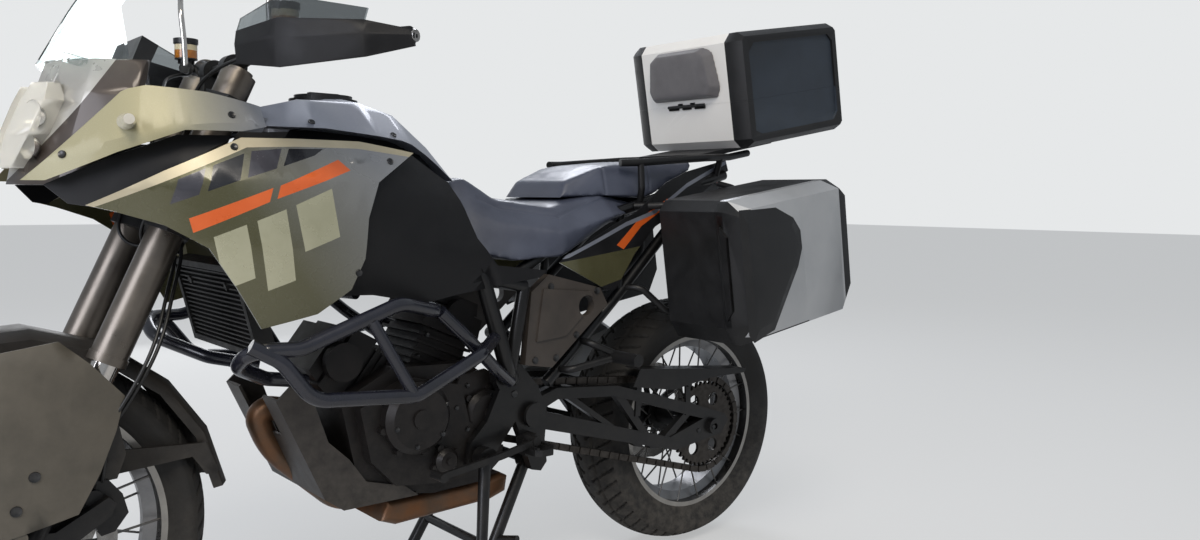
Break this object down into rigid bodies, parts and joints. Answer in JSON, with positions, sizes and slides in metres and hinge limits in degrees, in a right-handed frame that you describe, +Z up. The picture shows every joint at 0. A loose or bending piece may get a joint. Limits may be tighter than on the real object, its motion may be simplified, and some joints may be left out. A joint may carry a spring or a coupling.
{
  "type": "adventure motorcycle",
  "caption": "Adventure touring motorcycle on its centre stand, with engine guards, hand guards, top case and side cases; steering, wheels, stands and case lids move.",
  "frame": {"origin": "on the ground at the middle of the bounding box", "axes": "-X points to the front wheel, -Y to the rider's left, +Z up"},
  "size_m": [2.3658, 0.948, 1.4175],
  "materials": {
    "tyre": "matt black rubber",
    "rim_black": "satin black paint",
    "spoke_steel": "stainless",
    "fork_gold": "worn anodised grey-gold",
    "chrome_tube": "polished",
    "cast_black": "black powder coat",
    "frame_black": "black powder coat",
    "guard_navy": "dark blue-black powder coat",
    "engine_dark": "dark grey engine paint",
    "cover_dark": "dark grey engine paint",
    "exhaust_brown": "heat stained steel",
    "silencer_steel": "satin steel",
    "olive": "metallic olive green",
    "olive_pale": "pale metallic olive",
    "silver": "metallic silver",
    "plastic_black": "moulded black",
    "plastic_grey": "moulded dark grey",
    "mask_grey": "light metallic grey",
    "clear": "clear",
    "smoke": "smoked",
    "seat": "dark grey-blue vinyl",
    "grip": "matt",
    "case_alu": "brushed silver",
    "case_black": "moulded black",
    "cover_bronze": "dark bronze grey",
    "lamp_red": "red lens",
    "plate": "blank plate",
    "pad": "matt foam",
    "guard_bronze": "dark grey olive",
    "rubber_hose": "black hose"
  },
  "bodies": {
    "chassis": {"main_frame": "frame_black", "rear_frame": "frame_black", "frame_covers": "cover_bronze", "swingarm": "cast_black", "drive_chain": "spoke_steel", "engine_block": "engine_dark", "engine_covers": "cover_dark", "exhaust_pipes": "exhaust_brown", "silencer": "silencer_steel", "radiator": "cast_black", "sump_guard": "plastic_grey", "engine_guards": "guard_navy", "footrests_and_pedals": "cast_black", "fuel_tank": "plastic_black", "tank_cover": "silver", "filler_cap": "cast_black", "side_fairings": "olive", "upper_wings": "olive_pale", "dark_side_panels": "plastic_black", "headlight_mask": "mask_grey", "headlamps": "clear", "windscreen": "clear", "instrument_cluster": "plastic_black", "rider_seat": "seat", "passenger_seat": "seat", "tail_panels": "plastic_black", "luggage_racks": "cast_black", "rear_mudguard": "plastic_black", "licence_plate": "plate", "signal_lights": "lamp_red", "top_case_base": "case_alu", "left_pannier": "case_black", "right_pannier": "case_black"},
    "steering": {"fork_clamps": "cast_black", "fork_upper_tubes": "fork_gold", "fork_lower_legs": "chrome_tube", "front_calipers": "cast_black", "front_mudguard": "plastic_black", "fork_guards": "guard_bronze", "handlebar": "cast_black", "grips": "grip", "bar_controls": "cast_black", "mirrors": "plastic_black", "hand_guards": "plastic_black", "hand_guard_screens": "smoke", "brake_hoses": "rubber_hose"},
    "front_wheel": {"front_tyre": "tyre", "front_rim": "rim_black", "front_hub_and_spokes": "spoke_steel"},
    "rear_wheel": {"rear_tyre": "tyre", "rear_rim": "rim_black", "rear_hub_and_spokes": "spoke_steel", "rear_sprocket": "spoke_steel"},
    "centre_stand_body": {"centre_stand": "cast_black"},
    "side_stand_body": {"side_stand": "cast_black"},
    "top_lid": {"top_case_lid": "case_alu", "backrest_pad": "pad"},
    "left_lid": {"left_pannier_lid": "case_alu"},
    "right_lid": {"right_pannier_lid": "case_alu"}
  },
  "joints": [
    {"name": "steering_turn", "type": "hinge", "parent": "chassis", "child": "steering", "pos_m": [-0.948, 0, 0], "axis": [0.4226, 0, 0.9063], "range_deg": [-38, 38]},
    {"name": "front_wheel_spin", "type": "hinge", "parent": "steering", "child": "front_wheel", "pos_m": [-0.828, 0, 0.325], "axis": [0, 1, 0], "continuous": true},
    {"name": "rear_wheel_spin", "type": "hinge", "parent": "chassis", "child": "rear_wheel", "pos_m": [0.732, 0, 0.324], "axis": [0, 1, 0], "continuous": true},
    {"name": "centre_stand_fold", "type": "hinge", "parent": "chassis", "child": "centre_stand_body", "pos_m": [0.154, 0, 0.33], "axis": [0, -1, 0], "range_deg": [0, 98]},
    {"name": "side_stand_fold", "type": "hinge", "parent": "chassis", "child": "side_stand_body", "pos_m": [0.002, -0.19, 0.372], "axis": [0, -1, 0], "range_deg": [0, 78]},
    {"name": "top_case_open", "type": "hinge", "parent": "chassis", "child": "top_lid", "pos_m": [0.76187, 0, 1.14937], "axis": [0, -1, 0], "range_deg": [0, 70]},
    {"name": "left_case_open", "type": "hinge", "parent": "chassis", "child": "left_lid", "pos_m": [0.69437, -0.395, 0.60543], "axis": [0.9882, 0, 0.153], "range_deg": [0, 60]},
    {"name": "right_case_open", "type": "hinge", "parent": "chassis", "child": "right_lid", "pos_m": [0.69437, 0.395, 0.60543], "axis": [-0.9882, 0, -0.153], "range_deg": [0, 60]}
  ]
}
